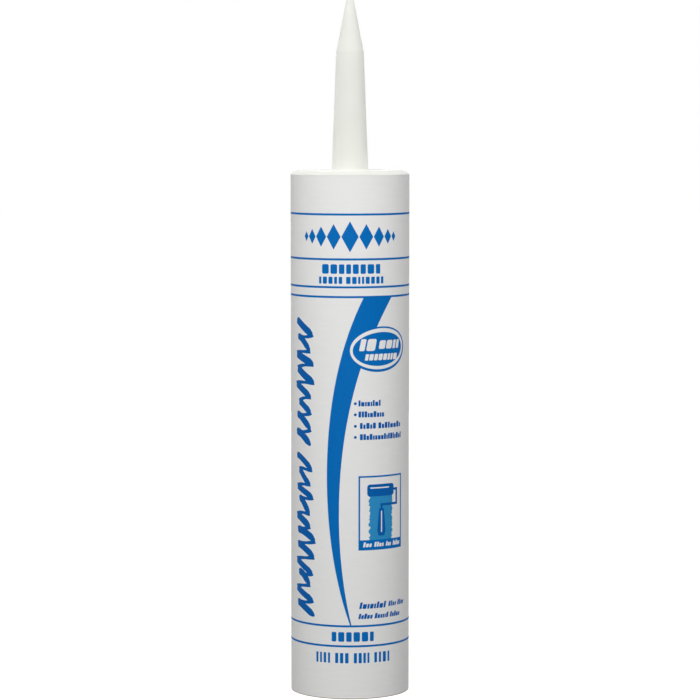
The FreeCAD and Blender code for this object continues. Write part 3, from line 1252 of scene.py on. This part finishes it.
# Each lamp's name, place, power in watts, width, and whether it shows in gloss.
LAMPS = (
    ("key", (-0.15, -0.7, 0.6), 6.5, 0.9, True),
    ("fill_right", (0.45, -0.25, 0.6), 1.9, 0.6, True),
    ("fill_left", (-0.5, -0.15, 0.6), 1.15, 0.6, True),
    ("back", (0, 1.1, 0.3), 9.0, 0.6, False),
    ("under", (0, 0, -0.9), 8.0, 0.6, True),
)


def add_softbox(name, place, power, width, glossy):
    """A square soft light that is aimed at the middle of the cartridge and isn't seen itself."""
    light = bpy.data.lights.new(name, "AREA")
    light.size = width
    light.energy = power
    lamp = bpy.data.objects.new(name, light)
    lamp.visible_camera = False
    lamp.visible_glossy = glossy
    lamp.location = place
    towards = Vector((0, 0, CAP_HIGH.z / 2)) - Vector(place)
    lamp.rotation_euler = towards.to_track_quat("-Z", "Y").to_euler()
    bpy.context.scene.collection.objects.link(lamp)


def studio_floor():
    # A pale seamless floor. What the camera sees of it is lifted to white, less so round the cartridge,
    # where the shadow stays. Its underside is clear, so that the part can also be seen from below.
    material, tree, output, place = new_material("studio_floor")
    away = add_node(tree, "ShaderNodeVectorMath", {"operation": "LENGTH"}, {0: place}).outputs["Value"]
    white = add_node(
        tree,
        "ShaderNodeMapRange",
        sockets={
            "Value": away,
            "From Min": FLOOR_FADE[0],
            "From Max": FLOOR_FADE[1],
            "To Min": FLOOR_LIFT,
            "To Max": 1.0,
        },
    ).outputs["Result"]
    path = add_node(tree, "ShaderNodeLightPath").outputs
    seen = add_node(
        tree,
        "ShaderNodeMath",
        {"operation": "MAXIMUM"},
        {0: path["Is Camera Ray"], 1: path["Is Glossy Ray"]},
    ).outputs[0]
    lift = add_node(tree, "ShaderNodeMath", {"operation": "MULTIPLY"}, {0: seen, 1: white}).outputs[0]
    paint = add_node(tree, "ShaderNodeBsdfDiffuse", sockets={"Color": rgba(colours().floor)}).outputs[0]
    glow = add_node(tree, "ShaderNodeEmission", sockets={"Color": WHITE, "Strength": lift}).outputs[0]
    top = add_node(tree, "ShaderNodeAddShader", sockets={0: paint, 1: glow}).outputs[0]
    clear = add_node(tree, "ShaderNodeBsdfTransparent").outputs[0]
    under = add_node(tree, "ShaderNodeNewGeometry").outputs["Backfacing"]
    both = add_node(tree, "ShaderNodeMixShader", sockets={0: under, 1: top, 2: clear}).outputs[0]
    tree.links.new(both, output.inputs["Surface"])
    return material


def studio_world():
    """White to the camera and in reflections, and a plain soft light on everything else."""
    world = bpy.data.worlds.new("studio")
    world.use_nodes = True
    tree = world.node_tree
    tree.nodes.clear()
    path = add_node(tree, "ShaderNodeLightPath").outputs
    mirrored = add_node(
        tree,
        "ShaderNodeMath",
        {"operation": "MAXIMUM"},
        {0: path["Is Glossy Ray"], 1: path["Is Transmission Ray"]},
    ).outputs[0]
    seen = add_node(
        tree, "ShaderNodeMath", {"operation": "MAXIMUM"}, {0: path["Is Camera Ray"], 1: mirrored}
    ).outputs[0]
    soft, white = (
        add_node(
            tree, "ShaderNodeBackground", sockets={"Color": WHITE, "Strength": strength}
        ).outputs[0]
        for strength in (WORLD_LIGHT, 1.0)
    )
    both = add_node(tree, "ShaderNodeMixShader", sockets={0: seen, 1: soft, 2: white}).outputs[0]
    output = add_node(tree, "ShaderNodeOutputWorld")
    tree.links.new(both, output.inputs["Surface"])
    bpy.context.scene.world = world


class CARTRIDGE_OT_stage(bpy.types.Operator):
    """Set up the floor, the lights and the camera"""

    bl_idname = "cartridge.stage"
    bl_label = "Stage"

    def execute(self, context):
        scene = context.scene
        # The floor is a ring. The cartridge hides its hole, and light from below passes through it to
        # the open rear end.
        shape = bmesh.new()
        for radius in (FLOOR_RADIUS, TUBE_HIGH.x - HOLE_MARGIN):
            bmesh.ops.create_circle(shape, radius=radius, segments=64)
        bmesh.ops.bridge_loops(shape, edges=shape.edges[:])
        for face in shape.faces:
            if face.normal.z < 0:
                face.normal_flip()
        mesh = bpy.data.meshes.new("floor")
        shape.to_mesh(mesh)
        shape.free()
        mesh.materials.append(studio_floor())
        floor = bpy.data.objects.new("floor", mesh)
        scene.collection.objects.link(floor)

        studio_world()
        for lamp in LAMPS:
            add_softbox(*lamp)

        camera = bpy.data.objects.new("camera", bpy.data.cameras.new("camera"))
        camera.data.lens = CAMERA_LENS
        camera.data.sensor_width = CAMERA_SENSOR
        camera.location = (0, -CAMERA_DISTANCE, CAMERA_HEIGHT)
        camera.rotation_euler = (math.pi / 2 - CAMERA_PITCH, 0, 0)
        scene.collection.objects.link(camera)
        scene.camera = camera
        scene.view_settings.view_transform = "Standard"
        return {"FINISHED"}


class CARTRIDGE_PT_panel(bpy.types.Panel):
    """Lists the steps that build the cartridge"""

    bl_label = "Caulk cartridge"
    bl_idname = "CARTRIDGE_PT_panel"
    bl_space_type = "VIEW_3D"
    bl_region_type = "UI"
    bl_category = "Cartridge"

    def draw(self, context):
        for step in STEPS:
            self.layout.operator(step.bl_idname)


STEPS = (
    CARTRIDGE_OT_tube,
    CARTRIDGE_OT_label,
    CARTRIDGE_OT_nozzle_cap,
    CARTRIDGE_OT_seal,
    CARTRIDGE_OT_plunger,
    CARTRIDGE_OT_caulk,
    CARTRIDGE_OT_rules,
    CARTRIDGE_OT_sweep,
    CARTRIDGE_OT_ornament,
    CARTRIDGE_OT_title,
    CARTRIDGE_OT_brush_marks,
    CARTRIDGE_OT_badge,
    CARTRIDGE_OT_list_lines,
    CARTRIDGE_OT_picture,
    CARTRIDGE_OT_stage,
)
GROUPS = {
    "cartridge_sizes": CartridgeSizes,
    "cartridge_print": PrintSizes,
    "cartridge_colours": CartridgeColours,
}


def register():
    for kind in (*GROUPS.values(), *STEPS, CARTRIDGE_PT_panel):
        bpy.utils.register_class(kind)
    for name, group in GROUPS.items():
        setattr(bpy.types.Scene, name, bpy.props.PointerProperty(type=group))


def unregister():
    for name in GROUPS:
        delattr(bpy.types.Scene, name)
    for kind in (CARTRIDGE_PT_panel, *reversed(STEPS), *GROUPS.values()):
        bpy.utils.unregister_class(kind)


def main():
    register()
    bpy.ops.cartridge.tube()
    bpy.ops.cartridge.label()
    bpy.ops.cartridge.nozzle_cap()
    bpy.ops.cartridge.seal()
    bpy.ops.cartridge.plunger()
    bpy.ops.cartridge.caulk()
    bpy.ops.cartridge.rules()
    bpy.ops.cartridge.sweep()
    bpy.ops.cartridge.ornament()
    bpy.ops.cartridge.title()
    bpy.ops.cartridge.brush_marks()
    bpy.ops.cartridge.badge()
    bpy.ops.cartridge.list_lines()
    bpy.ops.cartridge.picture()
    bpy.ops.cartridge.stage()


if __name__ == "__main__":
    main()
